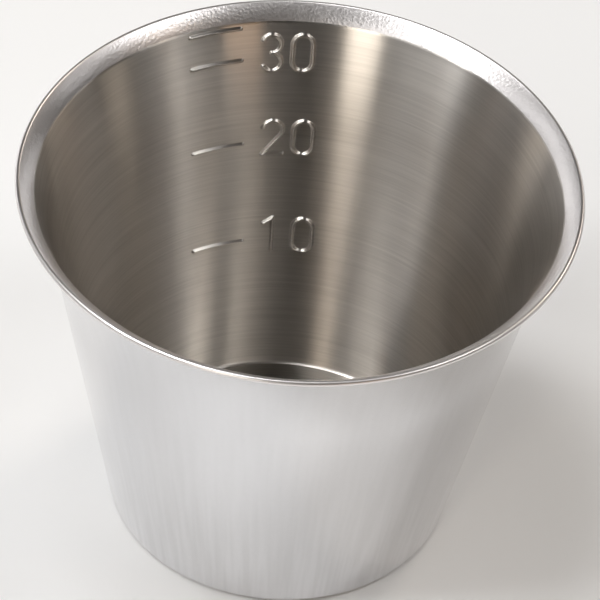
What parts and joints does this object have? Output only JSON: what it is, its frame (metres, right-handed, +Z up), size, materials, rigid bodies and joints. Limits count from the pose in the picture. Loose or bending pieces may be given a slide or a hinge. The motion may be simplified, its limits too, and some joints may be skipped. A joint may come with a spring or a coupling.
{
  "type": "graduated measuring cup",
  "caption": "Small tapered steel measuring cup with a flat floor, a flared lip and raised graduation lines and numerals inside, for liquids.",
  "frame": {"origin": "centre of the underside of the floor, on the surface the cup stands on", "axes": "+Z up along the cup's axis of revolution, +Y towards the wall that carries the graduations"},
  "size_m": [0.0478, 0.0478, 0.0355],
  "materials": {
    "floor_steel": "polished inside, satin underneath",
    "corner_steel": "polished",
    "wall_steel": "brushed round the axis inside, satin outside",
    "lip_steel": "satin",
    "edge_steel": "smoothed edge"
  },
  "bodies": {
    "root": {"floor_disc": "floor_steel", "base_corner": "corner_steel", "side_wall": "wall_steel", "lip": "lip_steel", "lip_edge": "edge_steel"}
  },
  "joints": []
}
